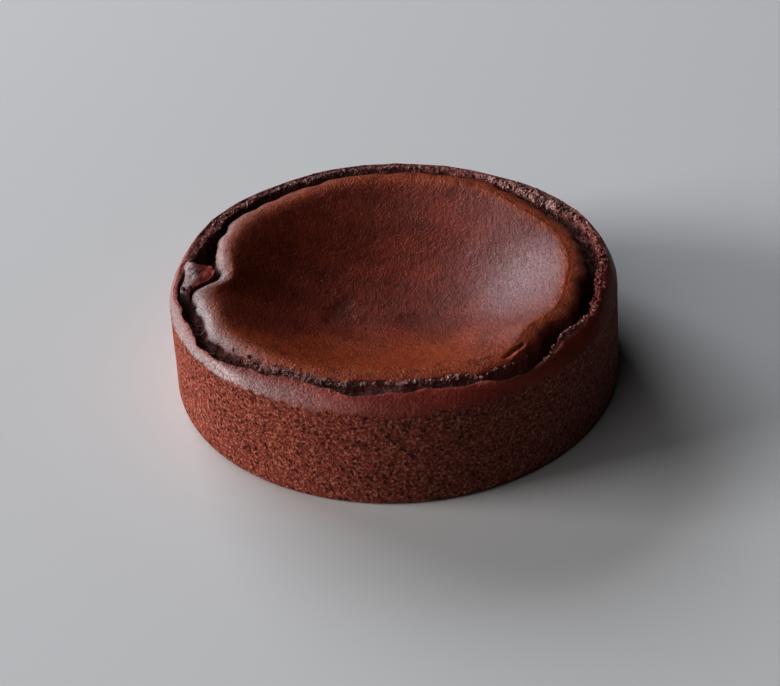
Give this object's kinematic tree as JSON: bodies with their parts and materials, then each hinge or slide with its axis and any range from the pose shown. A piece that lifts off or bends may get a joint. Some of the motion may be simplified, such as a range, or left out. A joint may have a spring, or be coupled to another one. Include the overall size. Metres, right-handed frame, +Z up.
{
  "type": "chocolate cake",
  "caption": "Round uncut chocolate cake with a porous side, a rolled crust rim, a torn crack round the top and a smooth sunken middle; baked food to serve whole or cut in slices.",
  "frame": {"origin": "middle of the flat base", "axes": "+Z up, the side shown nearest in the picture towards -Y, the lit side towards -X"},
  "size_m": [0.15, 0.15, 0.0386],
  "materials": {
    "baked_chocolate": "baked chocolate cake: satin dark brown crust on the top and rim, matte porous reddish-brown crumb on the side"
  },
  "bodies": {
    "root": {"cake": "baked_chocolate"}
  },
  "joints": []
}
